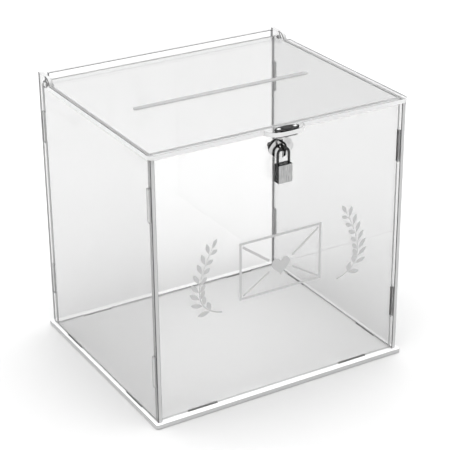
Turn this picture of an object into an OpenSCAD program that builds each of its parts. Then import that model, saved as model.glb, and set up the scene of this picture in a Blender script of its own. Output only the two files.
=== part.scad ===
// Card box of clear sheet, slotted together, with a pivoting lid, a hasp and a small padlock.
// Origin: centre of the base plate's underside. +Z is up and the front faces -Y. Millimetres.

/* [Box] */
// Outside width across the front panel
box_w = 254; // [200:2:300]
// Outside depth over the side walls
box_d = 217.5; // [180:0.5:260]
// Height of the wall tops above the underside
wall_top = 252; // [200:2:300]
// Thickness of every sheet
sheet = 4; // [3.5:0.5:5]
// How far the base plate stands out past the walls
base_lip = 3.5; // [2:0.5:8]

/* [Finger joints] */
// Length of every finger
tab_len = 30; // [20:1:40]
// Height of the lower corner finger above the underside
tab_low_z = 38; // [30:1:50]
// Distance from the wall top down to the upper corner finger's top
tab_high_drop = 27; // [20:1:40]
// Distance from a wall's end to the nearer foot finger
foot_inset = 32; // [20:1:45]
// How far the front and back panels stand in from the side walls' edges
panel_inset = 3.5; // [3:0.5:6]

/* [Lid] */
// Overhang of the lid past the left, right and front walls
lid_overhang = 2; // [1:0.5:3]
// Length of the card slot
slot_len = 178; // [120:2:190]
// Width of the card slot
slot_w = 5; // [4.6:0.2:8]
// Place of the card slot's middle along the depth
slot_y = -7; // [-40:1:20]
// Width of the front tongue at the lid's edge
tongue_w = 38; // [36:1:46]
// How far the front tongue stands out from the lid's edge
tongue_out = 11; // [11:0.5:14]
// Height of the pivot ears above the wall tops
ear_rise = 10; // [9:0.5:12]

/* [Hasp and staple] */
// Sideways place of the hasp, the staple and the padlock
lock_x = -2; // [-6:0.5:6]
// Width of the leaf that hangs from the tongue
leaf_w = 25; // [23:1:28]
// Height of the leaf's broad part
leaf_h = 19.5; // [16:0.5:19.5]

/* [Padlock] */
// Width of the padlock's case
case_w = 14.4; // [14:0.2:17]
// Height of the padlock's case
case_h = 17; // [15:0.5:20]
// Depth of the padlock's case over both face plates
case_d = 8.4; // [8:0.2:10]
// Diameter of the shackle's wire
shackle_wire = 2.3; // [2:0.1:2.6]
// Clear height of the closed shackle above the case
shackle_rise = 15; // [14:0.5:18]

/* [Hidden] */
$fn = 48;

gap = 0.05;           // clearance between slotted sheets
tight = 0.02;         // clearance around a pin or wire that is held fast
loose = 0.06;         // clearance around a round part that turns
front_y = -box_d / 2;
back_y = box_d / 2;
side_x = box_w / 2;
panel_front_y = front_y + panel_inset;
panel_back_y = back_y - panel_inset;
tab_zs = [tab_low_z, wall_top - tab_high_drop - tab_len];
through = 1;          // how far a cutting shape runs past a surface

// Lid and its pivot
lid_lift = 0.1;       // between the wall tops and the closed lid
lid_z = wall_top + lid_lift;
pivot_z = lid_z + sheet / 2;
pivot_inset = 5.7;    // pivot's axis in front of the back panel's inner face
pivot_y = panel_back_y - sheet - pivot_inset;
pivot_clearance = 0.07;
pivot_r = sheet * sqrt(2) / 2 + pivot_clearance;
ear_r = 8;            // rounding of the ear's front
ear_arc_y = pivot_y - 2;
ear_front_gap = 1.5;
lid_neck_y = ear_arc_y - ear_r - ear_front_gap;
lid_tail = 5;         // lid's reach behind the pivot's axis
lid_rear_y = pivot_y + lid_tail;
lid_side_gap = 0.4;   // between the lid's neck and each side wall
lid_neck_x = side_x - sheet - lid_side_gap;
lid_front_y = front_y - lid_overhang;
lid_corner_r = 6;
strip_end_gap = 3;    // between the back panel's raised strip and each ear

// Hasp on the tongue
hasp_out = 5.6;       // middle of the hasp's plates in front of the lid's edge
hasp_y = lid_front_y - hasp_out;
hasp_a = 12;          // half length of the oval plates
hasp_b = 4.8;         // half depth of the oval plate on the tongue
hasp_t = 1.2;
hasp_z = lid_z + sheet + gap;
screw_x = 8;          // each screw's distance from the middle
screw_r = 1.2;
screw_hole_r = 1.25;
head_r = 2.1;
head_h = 1.1;
nut_af = 4.4;
nut_h = 1.6;
bracket_t = 1;
bracket_z = lid_z - gap - bracket_t;
hinge_out = 2.6;      // leaf's hinge pin in front of the front panel's face
hinge_drop = 1.7;     // leaf's hinge pin below the lid's underside
hinge_y = panel_front_y - hinge_out;
hinge_z = lid_z - hinge_drop;
knuckle_r = 1.4;
knuckle_half = 2.2;   // half length of the leaf's knuckle
lug_in = 2.4;
lug_out = 4.6;
pin_r = 0.72;
leaf_t = 0.9;
leaf_out = 1.6;       // leaf's back in front of the front panel's face
leaf_drop = 4.5;      // top of the leaf's broad part below the pin
leaf_back_y = panel_front_y - leaf_out;
leaf_top_z = hinge_z - leaf_drop;
leaf_mid_z = leaf_top_z - leaf_h / 2;
leaf_slot_half = 1.5;
leaf_slot_gap = 0.6;  // above the staple's wire

// Staple on the front panel
staple_t = 1;
staple_b = 6.6;       // half height of the oval plate on the front panel
staple_drop = 12;     // staple's middle below the leaf's hinge pin
staple_front_y = panel_front_y - gap - staple_t;
staple_z = hinge_z - staple_drop;
staple_wire_r = 0.9;
staple_mid_r = 3.4;
staple_leg = 5.5;
rivet_r = 1.4;
rivet_h = 0.4;

// Padlock, measured from the middle of the shackle's top wire
wire_r = shackle_wire / 2;
shackle_out = 5.9;    // shackle in front of the front panel's face
shackle_y = panel_front_y - shackle_out;
shackle_z = staple_z - staple_mid_r + staple_wire_r + wire_r + gap;
leg_x = case_w / 2 - 0.45 - wire_r;
case_top = wire_r - shackle_rise;
case_bottom = case_top - case_h;
plate_t = 1.2;
plate_inset = 0.45;   // how far a face plate stops short of the case's outline
core_half_d = case_d / 2 - plate_t - gap;
heel_end = case_bottom + 3.5;
toe_end = case_top - 4.8;
bore_clearance = 0.05;
plug_r = 2.5;
plug_top = case_bottom + 9.5;
latch_h = 1.6;
latch_z = toe_end + 0.6;
cam_r = 0.5;
cam_throw = 1;
latch_bite = 0.6;
latch_half_d = 2.4;

// ---- Outlines and placing ----

// Stands an X-Z outline up as a sheet whose front face is at y
module facing_front(y, thickness = sheet) {
  translate([0, y + thickness, 0]) rotate([90, 0, 0]) linear_extrude(thickness) children();
}

// Stands a Y-Z outline up as a sheet whose left face is at x
module facing_side(x) {
  translate([x, 0, 0]) rotate([90, 0, 90]) linear_extrude(sheet) children();
}

// Rectangle between two corners
module span(low, high) {
  translate(low) square([high[0] - low[0], high[1] - low[1]]);
}

// Signed power, for superellipses
function signed_pow(value, power) = sign(value) * pow(abs(value), power);

// Oval outline: power 1 is an ellipse, and more draws its sides in towards a diamond
module oval(a, b, power = 1, steps = 60) {
  polygon([
    for (i = [0:steps - 1])
      let (t = 360 * i / steps)
      [a * signed_pow(sin(t), power), b * signed_pow(cos(t), power)]
  ]);
}

// Starts of the two foot fingers of a wall that runs from -half to +half
function foot_starts(half) = [-half + foot_inset, half - foot_inset - tab_len];

// Feet of a wall, as outlines below the base plate's top
module feet(half) {
  for (start = foot_starts(half)) span([start + gap, 0], [start + tab_len - gap, sheet + 2 * gap]);
}

// Slot for a foot in the base plate, from its low corner
module foot_slots_x(half, y) {
  for (start = foot_starts(half)) span([start, y - gap], [start + tab_len, y + sheet + gap]);
}

module foot_slots_y(half, x) {
  for (start = foot_starts(half)) span([x - gap, start], [x + sheet + gap, start + tab_len]);
}

// Shapes repeated on both sides of the lock's middle
module both_sides() {
  for (side = [-1, 1]) translate([side * screw_x, 0, 0]) children();
}

// Six-sided nut standing on z = 0 with a round bore
module nut() {
  difference() {
    cylinder(h = nut_h, r = nut_af / sqrt(3), $fn = 6);
    translate([0, 0, -through]) cylinder(h = nut_h + 2 * through, r = screw_r + tight);
  }
}

// ---- Box ----

module base_plate() {
  reach_x = side_x + base_lip;
  reach_y = back_y + base_lip;
  corner_r = 2;
  color("white", 0.5) linear_extrude(sheet) difference() {
    union() {
      span([-reach_x + corner_r, -reach_y], [reach_x - corner_r, reach_y]);
      span([-reach_x, -reach_y + corner_r], [reach_x, reach_y - corner_r]);
      for (sx = [-1, 1], sy = [-1, 1])
        translate([sx * (reach_x - corner_r), sy * (reach_y - corner_r)]) circle(r = corner_r);
    }
    foot_slots_x(side_x, panel_front_y);
    foot_slots_x(side_x, panel_back_y - sheet);
    foot_slots_y(back_y, -side_x);
    foot_slots_y(back_y, side_x - sheet);
  }
}

// Front or back wall as an X-Z outline: it fits between the side walls, and its fingers pass through them
module panel_outline() {
  inner_x = side_x - sheet - gap;
  span([-inner_x, sheet + gap], [inner_x, wall_top]);
  for (z = tab_zs) span([-side_x, z + gap], [side_x, z + tab_len - gap]);
  feet(side_x);
}

module front_panel() {
  color("white", 0.3) difference() {
    facing_front(panel_front_y) panel_outline();
    translate([lock_x, panel_front_y, staple_z]) rotate([-90, 0, 0]) both_sides()
      translate([0, 0, -through]) cylinder(h = sheet + 2 * through, r = screw_hole_r);
  }
}

module back_panel() {
  strip_x = side_x - sheet - strip_end_gap;
  color("white", 0.3) facing_front(panel_back_y - sheet) {
    panel_outline();
    span([-strip_x, wall_top - through], [strip_x, wall_top + ear_rise]);
  }
}

// Side wall as a Y-Z outline
module side_outline() {
  ear_top = wall_top + ear_rise;
  ear_arc_z = ear_top - ear_r;
  difference() {
    union() {
      span([front_y, sheet + gap], [back_y, wall_top]);
      span([ear_arc_y, wall_top - through], [back_y, ear_top]);
      translate([ear_arc_y, ear_arc_z]) circle(r = ear_r);
      feet(back_y);
    }
    for (y = [panel_front_y, panel_back_y - sheet], z = tab_zs)
      span([y - gap, z], [y + sheet + gap, z + tab_len]);
    translate([pivot_y, pivot_z]) circle(r = pivot_r);
  }
}

module left_panel() {
  color("white", 0.3) facing_side(-side_x) side_outline();
}

module right_panel() {
  color("white", 0.3) facing_side(side_x - sheet) side_outline();
}

// ---- Lid ----

// Points of an arc about a centre, from one angle to another
function arc(centre, r, from, to, steps = 12) = [
  for (i = [0:steps])
    let (a = from + (to - from) * i / steps)
    centre + r * [cos(a), sin(a)]
];

// Points of the tongue, a superellipse's front half, from its right root to its left root
function tongue_points(roundness = 0.8, steps = 40) = [
  for (i = [0:steps])
    let (t = 180 * i / steps)
    [
      lock_x + signed_pow(cos(t), roundness) * tongue_w / 2,
      lid_front_y - tongue_out * signed_pow(sin(t), roundness)
    ]
];

// Right edge of the lid from its rear to its front: neck, square pivot peg, shoulder and side
function lid_edge() = [
  [lid_neck_x, lid_rear_y],
  [lid_neck_x, pivot_y + sheet / 2],
  [side_x, pivot_y + sheet / 2],
  [side_x, pivot_y - sheet / 2],
  [lid_neck_x, pivot_y - sheet / 2],
  [lid_neck_x, lid_neck_y],
  [side_x + lid_overhang, lid_neck_y]
];

module lid_outline() {
  corner_x = side_x + lid_overhang - lid_corner_r;
  corner_y = lid_front_y + lid_corner_r;
  right = lid_edge();
  polygon([
    each right,
    each arc([corner_x, corner_y], lid_corner_r, 0, -90),
    each tongue_points(),
    each arc([-corner_x, corner_y], lid_corner_r, -90, -180),
    for (i = [len(right) - 1:-1:0]) [-right[i][0], right[i][1]]
  ]);
}

module lid_panel() {
  slot_r = 1;
  half_len = slot_len / 2;
  half_w = slot_w / 2;
  color("white", 0.3) translate([0, 0, lid_z]) linear_extrude(sheet) difference() {
    lid_outline();
    translate([0, slot_y]) {
      span([-half_len + slot_r, -half_w], [half_len - slot_r, half_w]);
      span([-half_len, -half_w + slot_r], [half_len, half_w - slot_r]);
      for (sx = [-1, 1], sy = [-1, 1])
        translate([sx * (half_len - slot_r), sy * (half_w - slot_r)]) circle(r = slot_r);
    }
    translate([lock_x, hasp_y]) both_sides() circle(r = screw_hole_r);
  }
}

// ---- Hasp ----

// Moves to the lock's middle at a given depth and height
module at_lock(y, z) {
  translate([lock_x, y, z]) children();
}

// Round bar along X, centred on the lock's middle
module bar_x(half, r) {
  translate([-half, 0, 0]) rotate([0, 90, 0]) cylinder(h = 2 * half, r = r);
}

// Plate on top of the tongue
module hasp_plate() {
  boss_h = 0.7;
  color("silver") at_lock(hasp_y, hasp_z) difference() {
    union() {
      linear_extrude(hasp_t) oval(hasp_a, hasp_b);
      linear_extrude(hasp_t + boss_h) oval(hasp_a / 2.4, hasp_b * 0.7);
    }
    both_sides() translate([0, 0, -through]) cylinder(h = 4 * through, r = screw_hole_r);
  }
}

// Plate under the tongue, with two arms back to the lugs that carry the leaf's pin
module hasp_bracket() {
  lug_w = lug_out - lug_in;
  arm_len = hinge_y + knuckle_r - hasp_y;
  color("silver") difference() {
    union() {
      at_lock(hasp_y, bracket_z) linear_extrude(bracket_t) oval(hasp_a, hasp_b);
      for (x = [-lug_out, lug_in]) {
        at_lock(hasp_y, bracket_z) translate([x, 0, 0]) cube([lug_w, arm_len, bracket_t]);
        at_lock(hinge_y, hinge_z) translate([x, -knuckle_r, 0])
          cube([lug_w, 2 * knuckle_r, bracket_z + bracket_t - hinge_z]);
        at_lock(hinge_y, hinge_z) translate([x, 0, 0]) rotate([0, 90, 0]) cylinder(h = lug_w, r = knuckle_r);
      }
    }
    at_lock(hasp_y, bracket_z - through) both_sides() cylinder(h = 4 * through, r = screw_hole_r);
    at_lock(hinge_y, hinge_z) bar_x(lug_out + through, pin_r + tight);
  }
}

module hasp_leaf() {
  broad_power = 1.35;
  neck_top = hinge_z - leaf_mid_z;
  color("silver") difference() {
    union() {
      at_lock(hinge_y, hinge_z) bar_x(knuckle_half, knuckle_r);
      at_lock(0, leaf_mid_z) facing_front(leaf_back_y - leaf_t, leaf_t) {
        oval(leaf_w / 2, leaf_h / 2, broad_power);
        span([-knuckle_half, 0], [knuckle_half, neck_top]);
      }
    }
    at_lock(hinge_y, hinge_z) bar_x(knuckle_half + through, pin_r + loose);
    at_lock(0, staple_z) facing_front(leaf_back_y - leaf_t - through, leaf_t + 2 * through)
      span([-leaf_slot_half, -leaf_h], [leaf_slot_half, staple_mid_r + staple_wire_r + leaf_slot_gap]);
  }
}

module hasp_pin() {
  color("gainsboro") at_lock(hinge_y, hinge_z) bar_x(lug_out + 0.1, pin_r);
}

module hasp_screws() {
  tail = 0.6;
  shank = hasp_t + sheet + bracket_t + nut_h + 4 * gap + tail;
  color("gainsboro") at_lock(hasp_y, hasp_z + hasp_t + gap) both_sides() pan_screw(shank);
}

// Pan-head screw: the head stands on z = 0 and the shank hangs below it
module pan_screw(shank) {
  dome_r = 2.8;
  drive_slot_w = 0.5;
  drive_slot_depth = 0.45;
  difference() {
    intersection() {
      cylinder(h = head_h, r = head_r);
      translate([0, 0, head_h - dome_r]) sphere(r = dome_r);
    }
    translate([-head_r - through, -drive_slot_w / 2, head_h - drive_slot_depth])
      cube([2 * (head_r + through), drive_slot_w, head_h]);
  }
  translate([0, 0, -shank]) cylinder(h = shank + 0.1, r = screw_r);
}

module hasp_nuts() {
  color("gainsboro") at_lock(hasp_y, bracket_z - gap - nut_h) both_sides() nut();
}

// ---- Staple ----

// Turns +Z towards the back, for screws and rivets driven in from the front
module driven_in(y) {
  at_lock(y, staple_z) rotate([-90, 0, 0]) children();
}

module staple_plate() {
  color("silver") difference() {
    at_lock(0, staple_z) facing_front(staple_front_y, staple_t) oval(hasp_a, staple_b);
    driven_in(staple_front_y) {
      both_sides() {
        translate([0, 0, -through]) cylinder(h = 4 * through, r = screw_hole_r);
        translate([0, 0, -gap]) cylinder(h = staple_t, r1 = head_r + gap, r2 = screw_hole_r);
      }
      for (side = [-1, 1]) translate([0, side * staple_mid_r, 0]) {
        translate([0, 0, -through]) cylinder(h = 4 * through, r = staple_wire_r + tight);
        translate([0, 0, staple_t - rivet_h - gap]) cylinder(h = staple_t, r = rivet_r + gap);
      }
    }
  }
}

// U of round wire in an upright plane, its two ends riveted behind the plate
module staple_ring() {
  bend_y = staple_front_y - staple_leg;
  leg_len = panel_front_y - 2 * gap - bend_y;
  color("silver") {
    at_lock(bend_y, staple_z) rotate([0, 90, 0]) rotate([0, 0, 180])
      rotate_extrude(angle = 180) translate([staple_mid_r, 0]) circle(r = staple_wire_r);
    driven_in(bend_y) for (side = [-1, 1]) translate([0, side * staple_mid_r, 0]) {
      cylinder(h = leg_len, r = staple_wire_r);
      translate([0, 0, leg_len - rivet_h]) cylinder(h = rivet_h, r = rivet_r);
    }
  }
}

module staple_screws() {
  cone_h = staple_t - 2 * gap;
  shank = staple_t + sheet + nut_h + 0.7;
  color("gainsboro") driven_in(staple_front_y) both_sides() {
    cylinder(h = cone_h, r1 = head_r - gap, r2 = screw_r);
    cylinder(h = shank, r = screw_r);
  }
}

module staple_nuts() {
  color("gainsboro") driven_in(panel_front_y + sheet + gap) both_sides() nut();
}

// ---- Padlock ----

// Moves to the middle of the shackle's top wire
module at_shackle() {
  at_lock(shackle_y, shackle_z) children();
}

// Front outline of the case with rounded corners, drawn in by an inset
module case_outline(inset = 0) {
  corner_r = 1 - inset;
  half = case_w / 2 - inset;
  low = case_bottom + inset;
  high = case_top - inset;
  span([-half + corner_r, low], [half - corner_r, high]);
  span([-half, low + corner_r], [half, high - corner_r]);
  for (sx = [-1, 1], z = [low + corner_r, high - corner_r])
    translate([sx * (half - corner_r), z]) circle(r = corner_r);
}

module padlock_case() {
  leg_bore = wire_r + bore_clearance;
  latch_room_x = leg_x - wire_r + latch_bite;
  color("silver") at_shackle() difference() {
    facing_front(-core_half_d, 2 * core_half_d) case_outline();
    translate([-leg_x, 0, heel_end - 1]) cylinder(h = case_h, r = leg_bore);
    translate([leg_x, 0, toe_end - 1]) cylinder(h = case_h, r = leg_bore);
    translate([0, 0, case_bottom - through])
      cylinder(h = plug_top + 0.1 - case_bottom + through, r = plug_r + loose);
    translate([-latch_room_x, -latch_half_d - gap, latch_z - gap])
      cube([2 * latch_room_x, 2 * (latch_half_d + gap), latch_h + 2 * gap]);
    translate([0, 0, plug_top]) cylinder(h = latch_z - plug_top, r = cam_throw + cam_r + 0.1);
  }
}

module face_plate(y) {
  color("lightgray") at_shackle() facing_front(y, plate_t) case_outline(plate_inset);
}

module padlock_front_plate() {
  face_plate(-case_d / 2);
}

module padlock_back_plate() {
  face_plate(case_d / 2 - plate_t);
}

module padlock_shackle() {
  bend_r = leg_x;
  notch_x = leg_x - wire_r - through;
  color("gainsboro") at_shackle() difference() {
    union() {
      translate([0, 0, -bend_r]) rotate([90, 0, 0])
        rotate_extrude(angle = 180) translate([bend_r, 0]) circle(r = wire_r);
      translate([-leg_x, 0, heel_end]) cylinder(h = -bend_r - heel_end, r = wire_r);
      translate([leg_x, 0, toe_end]) cylinder(h = -bend_r - toe_end, r = wire_r);
    }
    translate([notch_x, -wire_r - through, toe_end - through])
      cube([latch_bite + through + gap, 2 * (wire_r + through), latch_z + latch_h + gap - toe_end + through]);
  }
}

module padlock_plug() {
  keyway = [0.8, 3.2, 6];
  color("goldenrod") at_shackle() {
    difference() {
      translate([0, 0, case_bottom]) cylinder(h = plug_top - case_bottom, r = plug_r);
      translate([-keyway[0] / 2, -keyway[1] / 2, case_bottom - through])
        cube([keyway[0], keyway[1], keyway[2] + through]);
    }
    translate([cam_throw, 0, plug_top - 0.1]) cylinder(h = latch_z + latch_h - plug_top, r = cam_r);
  }
}

// Bar that bites the shackle's toe, moved by the pin on top of the key cylinder
module padlock_latch() {
  latch_tail = -leg_x + wire_r + 2;
  latch_nose = leg_x - wire_r + latch_bite - gap;
  play = 0.3;
  color("darkgray") at_shackle() difference() {
    translate([latch_tail, -latch_half_d, latch_z])
      cube([latch_nose - latch_tail, 2 * latch_half_d, latch_h]);
    translate([cam_throw - cam_r - play, -cam_r - play, latch_z - through])
      cube([2 * (cam_r + play), cam_throw + 2 * (cam_r + play), latch_h + 2 * through]);
  }
}

// ---- Show ----

base_plate();
front_panel();
back_panel();
left_panel();
right_panel();
lid_panel();
hasp_plate();
hasp_bracket();
hasp_leaf();
hasp_pin();
hasp_screws();
hasp_nuts();
staple_plate();
staple_ring();
staple_screws();
staple_nuts();
padlock_case();
padlock_front_plate();
padlock_back_plate();
padlock_shackle();
padlock_latch();
padlock_plug();
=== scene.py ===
"""Looks for a clear card box of slotted sheet, with a chrome hasp and a small padlock."""
import math

import bmesh
import bpy
from mathutils import Matrix, Vector


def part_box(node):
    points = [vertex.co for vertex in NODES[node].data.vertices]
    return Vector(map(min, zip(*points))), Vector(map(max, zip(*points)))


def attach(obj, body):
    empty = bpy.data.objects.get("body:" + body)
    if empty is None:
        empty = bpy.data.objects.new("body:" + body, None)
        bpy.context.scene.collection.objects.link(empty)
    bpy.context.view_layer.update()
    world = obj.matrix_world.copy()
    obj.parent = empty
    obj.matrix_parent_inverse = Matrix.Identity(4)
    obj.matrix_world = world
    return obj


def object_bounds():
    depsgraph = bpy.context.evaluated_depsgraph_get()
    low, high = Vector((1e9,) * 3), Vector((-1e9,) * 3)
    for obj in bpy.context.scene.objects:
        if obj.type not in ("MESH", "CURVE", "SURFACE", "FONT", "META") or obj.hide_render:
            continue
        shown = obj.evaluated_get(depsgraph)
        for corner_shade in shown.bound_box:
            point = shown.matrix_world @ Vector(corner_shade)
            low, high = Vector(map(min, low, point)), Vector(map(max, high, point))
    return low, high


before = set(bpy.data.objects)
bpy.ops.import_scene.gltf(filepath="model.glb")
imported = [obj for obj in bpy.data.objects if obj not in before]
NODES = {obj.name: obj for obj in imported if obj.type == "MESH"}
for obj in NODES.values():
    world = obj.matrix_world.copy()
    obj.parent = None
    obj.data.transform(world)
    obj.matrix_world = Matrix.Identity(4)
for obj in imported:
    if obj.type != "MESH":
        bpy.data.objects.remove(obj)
CAD_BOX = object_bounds()
MM = 0.001


# ---- Shader helpers ----


def new_material(name):
    """A node material with its Principled shader, its nodes and its links."""
    mat = bpy.data.materials.new(name)
    mat.use_nodes = True
    nodes, links = mat.node_tree.nodes, mat.node_tree.links
    return mat, nodes["Principled BSDF"], nodes, links


def grey(level):
    return (level, level, level, 1)


def object_coordinates(nodes, links, scale=(1, 1, 1)):
    """Coordinates fixed to the object, in metres, stretched by scale along each axis."""
    place = nodes.new("ShaderNodeTexCoord")
    stretch = nodes.new("ShaderNodeMapping")
    stretch.inputs["Scale"].default_value = scale
    links.new(place.outputs["Object"], stretch.inputs["Vector"])
    return stretch.outputs["Vector"]


def noise(nodes, links, vector, scale, detail=4.0):
    """Noise from 0 to 1; scale is in cells per unit of the vector."""
    tex = nodes.new("ShaderNodeTexNoise")
    tex.inputs["Scale"].default_value = scale
    tex.inputs["Detail"].default_value = detail
    links.new(vector, tex.inputs["Vector"])
    return tex.outputs["Fac"]


def remap(nodes, links, value, source, target):
    """Maps the source range to the target range, clamped; both are (low, high)."""
    node = nodes.new("ShaderNodeMapRange")
    node.inputs["From Min"].default_value, node.inputs["From Max"].default_value = source
    node.inputs["To Min"].default_value, node.inputs["To Max"].default_value = target
    links.new(value, node.inputs["Value"])
    return node.outputs["Result"]


def colour_ramp(nodes, links, value, stops, interpolation="LINEAR"):
    """Colour by value; stops are two or more pairs of position and colour, in order."""
    ramp = nodes.new("ShaderNodeValToRGB")
    ramp.color_ramp.interpolation = interpolation
    elements = ramp.color_ramp.elements
    for i, (position, colour) in enumerate(stops):
        element = elements[i] if i < 2 else elements.new(position)
        element.position = position
        element.color = colour
    links.new(value, ramp.inputs["Fac"])
    return ramp.outputs["Color"]


def bump(nodes, links, height, distance, strength):
    """A bump normal; distance is the height in metres of a full step."""
    node = nodes.new("ShaderNodeBump")
    node.inputs["Distance"].default_value = distance
    node.inputs["Strength"].default_value = strength
    links.new(height, node.inputs["Height"])
    return node.outputs["Normal"]


def facing(nodes, links, axis):
    """1 where the surface faces along axis, either way, and 0 where it runs along it."""
    geometry = nodes.new("ShaderNodeNewGeometry")
    across = nodes.new("ShaderNodeVectorMath")
    across.operation = "DOT_PRODUCT"
    across.inputs[1].default_value = axis
    links.new(geometry.outputs["True Normal"], across.inputs[0])
    size = nodes.new("ShaderNodeMath")
    size.operation = "ABSOLUTE"
    links.new(across.outputs["Value"], size.inputs[0])
    return size.outputs["Value"]


# ---- Materials ----

ACROSS_X, ACROSS_Y, ACROSS_Z = (1, 0, 0), (0, 1, 0), (0, 0, 1)

# How far a sheet's surface has to face across it to count as its chamfer or its face.
CHAMFER_FROM, FACE_FROM, FACE_FULL = 0.5, 0.9, 0.95
CUT_CLEAR = 0.25
CUT_ROUGHNESS = 0.3
# Painted shade on chrome plates' rims: a dark grey standing in for the dark reflections at their
# edges.
RIM_SHADE_GREY = 0.03


def acrylic(name, sheet_axis, tint_and_shade, clear=1.0, cut=0.6, corner_shade=0.04):
    """Cast sheet across sheet_axis, frosted on its cut edges, with painted shade on the chamfers
    between cut edges and faces: dark lines that stand in for the refraction there.

    tint_and_shade is the faces' grey, partly the sheet's own faint grey and partly painted shade
    that differs from sheet to sheet. cut is the cut edges' grey, partly frost and partly painted
    shade. corner_shade is the chamfers' painted shade. All three are grey levels, and clear is
    how much light the faces pass.
    """
    mat, shader, nodes, links = new_material(name)
    shader.inputs["IOR"].default_value = 1.49
    plain = object_coordinates(nodes, links)
    flat = facing(nodes, links, sheet_axis)
    # The chamfers' dark grey is painted shade, lines standing in for refraction at the sheet's
    # corners. The cut edges' grey is frost, darkened partly as painted shade.
    stops = ((0.0, grey(cut)), (CHAMFER_FROM, grey(corner_shade)), (FACE_FROM, grey(tint_and_shade)))
    colour = colour_ramp(nodes, links, flat, stops, "CONSTANT")
    links.new(colour, shader.inputs["Base Color"])
    edge = remap(nodes, links, flat, (FACE_FROM, FACE_FULL), (1.0, 0.0))
    passed = remap(nodes, links, edge, (0.0, 1.0), (clear, CUT_CLEAR))
    links.new(passed, shader.inputs["Transmission Weight"])
    links.new(sheet_roughness(nodes, links, plain, edge), shader.inputs["Roughness"])
    waves = noise(nodes, links, plain, scale=14.0, detail=1.0)
    wavy = bump(nodes, links, waves, distance=0.4 * MM, strength=0.1)
    links.new(wavy, shader.inputs["Normal"])
    return mat


def sheet_roughness(nodes, links, plain, edge):
    """Faint smudges on the faces and an even frost on the cut edges."""
    smudge = noise(nodes, links, plain, scale=9.0)
    mix = nodes.new("ShaderNodeMix")
    links.new(edge, mix.inputs["Factor"])
    links.new(remap(nodes, links, smudge, (0.35, 0.75), (0.0, 0.03)), mix.inputs["A"])
    mix.inputs["B"].default_value = CUT_ROUGHNESS
    return mix.outputs["Result"]


def chrome(name, levels, roughness, rim_axis=None):
    """Plating, cloudy at random between two grey levels, with dents.

    With rim_axis it is for a plate across that axis, and the plate's rims carry painted shade, a
    dark grey.
    """
    mat, shader, nodes, links = new_material(name)
    shader.inputs["Metallic"].default_value = 1.0
    plain = object_coordinates(nodes, links)
    # Grey that wanders at random between the two levels, in cells a few millimetres wide. The
    # same noise sets the roughness.
    plating_mottle = noise(nodes, links, plain, scale=320.0)
    stops = ((0.35, grey(levels[0])), (0.7, grey(levels[1])))
    colour = colour_ramp(nodes, links, plating_mottle, stops)
    # With rim_axis, the plate's rims get painted shade.
    if rim_axis is not None:
        colour = painted_rim_shade(nodes, links, colour, rim_axis)
    links.new(colour, shader.inputs["Base Color"])
    links.new(remap(nodes, links, plating_mottle, (0.3, 0.75), roughness), shader.inputs["Roughness"])
    dents = noise(nodes, links, plain, scale=500.0, detail=2.0)
    dented = bump(nodes, links, dents, distance=0.08 * MM, strength=0.3)
    links.new(dented, shader.inputs["Normal"])
    return mat


def painted_rim_shade(nodes, links, colour, rim_axis):
    """The colour on faces across rim_axis, and painted shade, a dark grey, on the rims around
    them.
    """
    mix = nodes.new("ShaderNodeMix")
    mix.data_type = "RGBA"
    flat = facing(nodes, links, rim_axis)
    links.new(remap(nodes, links, flat, (0.4, 0.9), (0.0, 1.0)), mix.inputs["Factor"])
    mix.inputs["A"].default_value = grey(RIM_SHADE_GREY)
    links.new(colour, mix.inputs["B"])
    return mix.outputs["Result"]


def brushed(name):
    """Face plate with an upright brushed grain."""
    mat, shader, nodes, links = new_material(name)
    shader.inputs["Metallic"].default_value = 1.0
    stretched = object_coordinates(nodes, links, (2400, 200, 130))
    grain = noise(nodes, links, stretched, scale=1.0, detail=3.0)
    colour = colour_ramp(nodes, links, grain, ((0.3, grey(0.19)), (0.7, grey(0.6))))
    links.new(colour, shader.inputs["Base Color"])
    rough = remap(nodes, links, grain, (0.3, 0.7), (0.42, 0.28))
    links.new(rough, shader.inputs["Roughness"])
    grooved = bump(nodes, links, grain, distance=0.03 * MM, strength=0.5)
    links.new(grooved, shader.inputs["Normal"])
    return mat


def brass(name):
    """Machined brass with faint stains."""
    mat, shader, nodes, links = new_material(name)
    shader.inputs["Metallic"].default_value = 1.0
    stain = noise(nodes, links, object_coordinates(nodes, links), scale=500.0)
    stops = ((0.0, (0.55, 0.38, 0.14, 1)), (1.0, (0.85, 0.66, 0.32, 1)))
    links.new(colour_ramp(nodes, links, stain, stops), shader.inputs["Base Color"])
    rough = remap(nodes, links, stain, (0.2, 0.8), (0.2, 0.36))
    links.new(rough, shader.inputs["Roughness"])
    return mat


def frosted(name):
    """Frosted print: a thin grey film with a fine grain."""
    mat, shader, nodes, links = new_material(name)
    shader.inputs["IOR"].default_value = 1.45
    grain = noise(nodes, links, object_coordinates(nodes, links), scale=2600.0, detail=2.0)
    colour = colour_ramp(nodes, links, grain, ((0.0, grey(0.38)), (1.0, grey(0.5))))
    links.new(colour, shader.inputs["Base Color"])
    rough = remap(nodes, links, grain, (0.2, 0.8), (0.5, 0.8))
    links.new(rough, shader.inputs["Roughness"])
    grainy = bump(nodes, links, grain, distance=0.02 * MM, strength=0.4)
    links.new(grainy, shader.inputs["Normal"])
    return mat


# ---- CAD nodes ----

WELD_REACH = 0.002 * MM
FLAT_WITHIN = math.radians(0.5)
SHARP_FROM = math.radians(40)

# Bevel widths in millimetres. Round wire has none.
SHEET_CHAMFER, LID_CHAMFER = 0.5, 0.75
PLATE_BEVEL, FACE_BEVEL, FASTENER_BEVEL, NO_BEVEL = 0.18, 0.3, 0.1, 0.0


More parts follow.
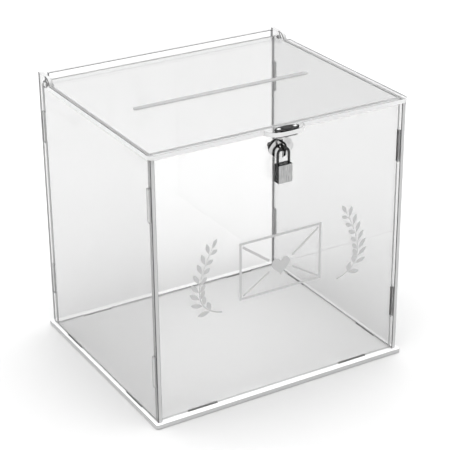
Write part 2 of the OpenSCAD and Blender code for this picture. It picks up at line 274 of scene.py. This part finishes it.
def dress(node, mat, bevel_mm, segments=2):
    """Gives a CAD node its material, joins its split vertices and softens its sharp edges.

    Without a bevel the sharp edges are only split, so that they shade sharply.
    """
    obj = NODES[node]
    obj.data.materials.clear()
    obj.data.materials.append(mat)
    weld = obj.modifiers.new("weld", "WELD")
    weld.merge_threshold = WELD_REACH
    flat = obj.modifiers.new("flat_faces", "DECIMATE")
    flat.decimate_type = "DISSOLVE"
    flat.angle_limit = FLAT_WITHIN
    if bevel_mm:
        bevel = obj.modifiers.new("bevel", "BEVEL")
        bevel.width = bevel_mm * MM
        bevel.segments = segments
        bevel.limit_method = "ANGLE"
        bevel.angle_limit = SHARP_FROM
        weighted = obj.modifiers.new("even_shading", "WEIGHTED_NORMAL")
        weighted.mode = "FACE_AREA"
        weighted.weight = 100
    else:
        split = obj.modifiers.new("sharp_ends", "EDGE_SPLIT")
        split.split_angle = SHARP_FROM


def dress_all(names, mat, bevel_mm, segments=2):
    for node in names:
        dress(node, mat, bevel_mm, segments)


def dress_box():
    """The six sheets, with plain chamfers on their cut edges."""
    # The sheets are lit and shaded copies of one acrylic. The side sheets' darker grey is
    # painted shade. The base's near-white faces pass little light and are painted light, in
    # place of the clear base lit through the box. The lid's cut edges and the base's chamfers
    # are kept lighter than the others'.
    front = acrylic("acrylic_front", ACROSS_Y, tint_and_shade=0.915)
    side = acrylic("acrylic_side", ACROSS_X, tint_and_shade=0.76)
    top = acrylic("acrylic_lid", ACROSS_Z, tint_and_shade=0.915, cut=0.85)
    floor = acrylic("acrylic_base", ACROSS_Z, tint_and_shade=0.99, clear=0.08, corner_shade=0.4)
    dress_all(("front_panel", "back_panel"), front, SHEET_CHAMFER, segments=1)
    dress_all(("left_panel", "right_panel"), side, SHEET_CHAMFER, segments=1)
    dress("lid_panel", top, LID_CHAMFER, segments=1)
    dress("base_plate", floor, SHEET_CHAMFER, segments=1)


def dress_metal():
    """Hasp, staple and padlock."""
    # The dark chrome's near-black greys are painted shade, standing in for the dark surroundings
    # that the plating reflects.
    dark = chrome("chrome_painted_dark", levels=(0.02, 0.07), roughness=(0.08, 0.2))
    # The light chrome's plates have painted shade on their rims.
    light = chrome("chrome_painted_rims", levels=(0.42, 0.62), roughness=(0.1, 0.22), rim_axis=ACROSS_Y)
    plated = chrome("steel_plated", levels=(0.25, 0.45), roughness=(0.14, 0.28))
    face = brushed("steel_brushed")
    fasteners = ("hasp_pin", "hasp_screws", "hasp_nuts", "staple_screws", "staple_nuts")
    dress_all(("hasp_leaf", "staple_plate"), light, PLATE_BEVEL)
    dress_all(("hasp_plate", "hasp_bracket", "padlock_case"), dark, PLATE_BEVEL)
    dress_all(("staple_ring", "padlock_shackle"), dark, NO_BEVEL)
    dress_all((*fasteners, "padlock_latch"), plated, FASTENER_BEVEL)
    dress_all(("padlock_front_plate", "padlock_back_plate"), face, FACE_BEVEL, segments=3)
    dress("padlock_plug", brass("brass_turned"), FASTENER_BEVEL)


# ---- Print on the front panel ----

FILM = 0.08 * MM
FILM_GAP = 0.03 * MM
LAYER = 0.02 * MM

# Points and sizes below are in millimetres: x from the panel's middle, z from its foot.
STEM_FOOT, STEM_PULL, STEM_TIP = (60, 94), (99, 103), (69, 157)
STEM_STEPS = 56
STEM_WIDTHS = (1.3, 0.5)
LEAF_PAIRS = 8
FIRST_ROOT, LAST_ROOT = 9, 53
ROOT_SPREAD = 0.8
LEAF_ANGLE = math.radians(38)
LEAF_STALK = 1.2
OUTER_LEAF, INNER_LEAF, LEAF_WIDTH = 12.5, 9, 4.4
LEAF_SHRINK = 0.15
LEAF_BELLY, LEAF_FULLNESS, LEAF_STEPS = 1.15, 0.85, 9
TIP_LEAF = (10, 3.6)

ENVELOPE_HALF_W, ENVELOPE_LOW, ENVELOPE_HIGH = 41, 101, 154
OUTLINE, FOLD_LINE = 2.3, 1.61
MITRE_LIMIT = 0.3
FOLD_INSET = 2.4
FLAP_DROP = 3.3
HEART_Z, HEART_SIZE, HEART_GAP, HEART_STEPS = 124, 9.5, 2.6, 44
FLAP_ABOVE_HEART, FOLD_BELOW_HEART = 7, 4


def add_film(bm, outline, lift=0.0):
    """A flat closed film from an outline of (x, z) points, lift off the panel."""
    low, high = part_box("front_panel")
    middle = (low.x + high.x) / 2
    back_y = low.y - FILM_GAP - lift
    rings = []
    for y in (back_y, back_y - FILM):
        rings.append([bm.verts.new((middle + x * MM, y, low.z + z * MM)) for x, z in outline])
    count = len(outline)
    bm.faces.new(rings[0])
    bm.faces.new(reversed(rings[1]))
    for i in range(count):
        k = (i + 1) % count
        bm.faces.new((rings[0][k], rings[0][i], rings[1][i], rings[1][k]))


def pointing(angle):
    return Vector((math.cos(angle), math.sin(angle)))


def heading(ahead):
    return math.atan2(ahead.y, ahead.x)


def leaf_outline(root, angle, length, width):
    """Pointed leaf from its root, with its widest part just past the middle."""
    along = pointing(angle)
    across = Vector((-along.y, along.x))
    sides = []
    for sign in (1, -1):
        side = []
        for i in range(1, LEAF_STEPS):
            t = i / LEAF_STEPS
            half = width / 2 * math.sin(math.pi * t ** LEAF_BELLY) ** LEAF_FULLNESS
            side.append(root + along * (length * t) + across * (sign * half))
        sides.append(side)
    return [root, *sides[1], root + along * length, *reversed(sides[0])]


def ribbon_outline(points, start_width, end_width):
    """Band along a row of points, from one width to another."""
    left, right = [], []
    last = len(points) - 1
    for i, point in enumerate(points):
        ahead = points[min(i + 1, last)] - points[max(i - 1, 0)]
        across = Vector((-ahead.y, ahead.x)).normalized()
        half = (start_width + (end_width - start_width) * i / last) / 2
        left.append(point + across * half)
        right.append(point - across * half)
    return left + right[::-1]


def curve_points(start, pull, end):
    """Points of a curve from start to end, drawn towards pull."""
    found = []
    for i in range(STEM_STEPS + 1):
        t = i / STEM_STEPS
        found.append(start * (1 - t) ** 2 + pull * (2 * t * (1 - t)) + end * t ** 2)
    return found


def add_leaf_pair(bm, stem, side, n):
    """Pair n of a spray's leaves, the outer leaf longer; lifted so that no films coincide."""
    along = (n / (LEAF_PAIRS - 1)) ** ROOT_SPREAD
    at = round(FIRST_ROOT + along * (LAST_ROOT - FIRST_ROOT))
    shrink = 1 - LEAF_SHRINK * n / LEAF_PAIRS
    for turn in (-1, 1):
        angle = heading(stem[at + 1] - stem[at - 1]) + turn * LEAF_ANGLE
        root = stem[at] + pointing(angle) * LEAF_STALK
        length = (OUTER_LEAF if turn == -side else INNER_LEAF) * shrink
        layer = 1 + n % 2 * 2 + (turn > 0)
        add_film(bm, leaf_outline(root, angle, length, LEAF_WIDTH * shrink), layer * LAYER)


def add_spray(bm, side):
    """Leafy spray that bows away from the middle; side is -1 on the left and 1 on the right."""
    ends = [Vector((side * x, z)) for x, z in (STEM_FOOT, STEM_PULL, STEM_TIP)]
    stem = curve_points(*ends)
    add_film(bm, ribbon_outline(stem, *STEM_WIDTHS))
    for n in range(LEAF_PAIRS):
        add_leaf_pair(bm, stem, side, n)
    add_film(bm, leaf_outline(stem[-1], heading(stem[-1] - stem[-2]), *TIP_LEAF))


def line_quads(points, width, closed):
    """Quads along a line of even width, mitred at its corners."""
    count = len(points)
    inner, outer = [], []
    for i, point in enumerate(points):
        before = (point - points[i - 1]).normalized()
        after = (points[(i + 1) % count] - point).normalized()
        if not closed and i == 0:
            before = after
        if not closed and i == count - 1:
            after = before
        normal = Vector((-(before + after).y, (before + after).x)).normalized()
        reach = width / 2 / max(MITRE_LIMIT, normal.dot(Vector((-before.y, before.x))))
        inner.append(point + normal * reach)
        outer.append(point - normal * reach)
    spans = range(count if closed else count - 1)
    return [
        (inner[i], inner[(i + 1) % count], outer[(i + 1) % count], outer[i]) for i in spans
    ]


def add_line(bm, points, width, closed=False):
    for quad in line_quads([Vector(point) for point in points], width, closed):
        add_film(bm, quad)


def heart_outline(mid_z, size):
    """Heart about the panel's middle; size is half its width."""
    found = []
    for i in range(HEART_STEPS):
        t = 2 * math.pi * i / HEART_STEPS
        lobes = 13 * math.cos(t) - 5 * math.cos(2 * t) - 2 * math.cos(3 * t) - math.cos(4 * t)
        found.append(Vector((size * math.sin(t) ** 3, mid_z + size / 16 * lobes)))
    return found


def add_envelope(bm):
    """Plain envelope with a heart as its seal, in place of lettering."""
    half_w, low, high = ENVELOPE_HALF_W, ENVELOPE_LOW, ENVELOPE_HIGH
    corners = ((-half_w, low), (half_w, low), (half_w, high), (-half_w, high))
    add_line(bm, corners, OUTLINE, closed=True)
    for side in (-1, 1):
        corner_x = side * (half_w - FOLD_INSET)
        heart_x = side * (HEART_SIZE + HEART_GAP)
        flap = (corner_x, high - FLAP_DROP), (heart_x, HEART_Z + FLAP_ABOVE_HEART)
        fold = (corner_x, low + FOLD_INSET), (heart_x, HEART_Z - FOLD_BELOW_HEART)
        add_line(bm, flap, OUTLINE)
        add_line(bm, fold, FOLD_LINE)
    add_film(bm, heart_outline(HEART_Z, HEART_SIZE))


def make_print():
    """Two sprays and the envelope, one thin film on the front panel's outer face."""
    bm = bmesh.new()
    add_spray(bm, -1)
    add_spray(bm, 1)
    add_envelope(bm)
    bmesh.ops.recalc_face_normals(bm, faces=bm.faces)
    mesh = bpy.data.meshes.new("front_print")
    bm.to_mesh(mesh)
    bm.free()
    obj = bpy.data.objects.new("front_print", mesh)
    bpy.context.scene.collection.objects.link(obj)
    obj.data.materials.append(frosted("print_frosted"))
    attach(obj, "box")


# ---- Stage ----

FLOOR_SIZE = 80
FLOOR_DROP = 0.2 * MM
FLOOR_GREY = 0.585

# Grey levels over the world's Z coordinate, dim low down and bright overhead.
LIGHT_LEVELS = ((0.0, 0.3), (0.47, 0.3), (0.54, 0.8), (0.8, 1.4), (1.0, 1.4))
LIGHT_STRENGTH = 2.05

# The camera's angles, and its distance from and the place of its target, in metres.
AZIMUTH, ELEVATION, ROLL = (math.radians(degrees) for degrees in (30.2, 25.2, 0.56))
DISTANCE = 1.401
TARGET = Vector((0.0047, -0.00075, 0.1194))
SENSOR_MM, LENS_MM = 36, 120


def make_floor():
    """Large plain floor just under the box."""
    place = (0, 0, CAD_BOX[0].z - FLOOR_DROP)
    bpy.ops.mesh.primitive_plane_add(size=FLOOR_SIZE, location=place)
    floor = bpy.context.object
    floor.name = "floor"
    mat, shader, _, _ = new_material("floor_pale")
    shader.inputs["Base Color"].default_value = grey(FLOOR_GREY)
    shader.inputs["Roughness"].default_value = 0.9
    floor.data.materials.append(mat)


def make_light():
    """A wide overhead softbox and a dim surround, both in the world."""
    world = bpy.data.worlds.new("studio")
    bpy.context.scene.world = world
    world.use_nodes = True
    nodes, links = world.node_tree.nodes, world.node_tree.links
    coords = nodes.new("ShaderNodeTexCoord")
    split = nodes.new("ShaderNodeSeparateXYZ")
    links.new(coords.outputs["Generated"], split.inputs["Vector"])
    stops = [(position, grey(level)) for position, level in LIGHT_LEVELS]
    background = nodes["Background"]
    colour = colour_ramp(nodes, links, split.outputs["Z"], stops)
    links.new(colour, background.inputs["Color"])
    background.inputs["Strength"].default_value = LIGHT_STRENGTH


def make_camera():
    """Camera at the three-quarter view from the front left, slightly above."""
    forward = Vector((
        math.sin(AZIMUTH) * math.cos(ELEVATION),
        math.cos(AZIMUTH) * math.cos(ELEVATION),
        -math.sin(ELEVATION),
    ))
    right = forward.cross(Vector((0, 0, 1))).normalized()
    down = forward.cross(right)
    turned_right = right * math.cos(ROLL) + down * math.sin(ROLL)
    turned_up = right * math.sin(ROLL) - down * math.cos(ROLL)
    turn = Matrix((turned_right, turned_up, -forward)).transposed()
    cam = bpy.data.objects.new("camera", bpy.data.cameras.new("camera"))
    bpy.context.scene.collection.objects.link(cam)
    cam.matrix_world = Matrix.Translation(TARGET - forward * DISTANCE) @ turn.to_4x4()
    cam.data.sensor_width = SENSOR_MM
    cam.data.lens = LENS_MM
    cam.data.clip_start = 0.01
    bpy.context.scene.camera = cam


make_camera()
make_floor()
make_light()
dress_box()
dress_metal()
make_print()
bpy.context.scene.view_settings.view_transform = "Standard"
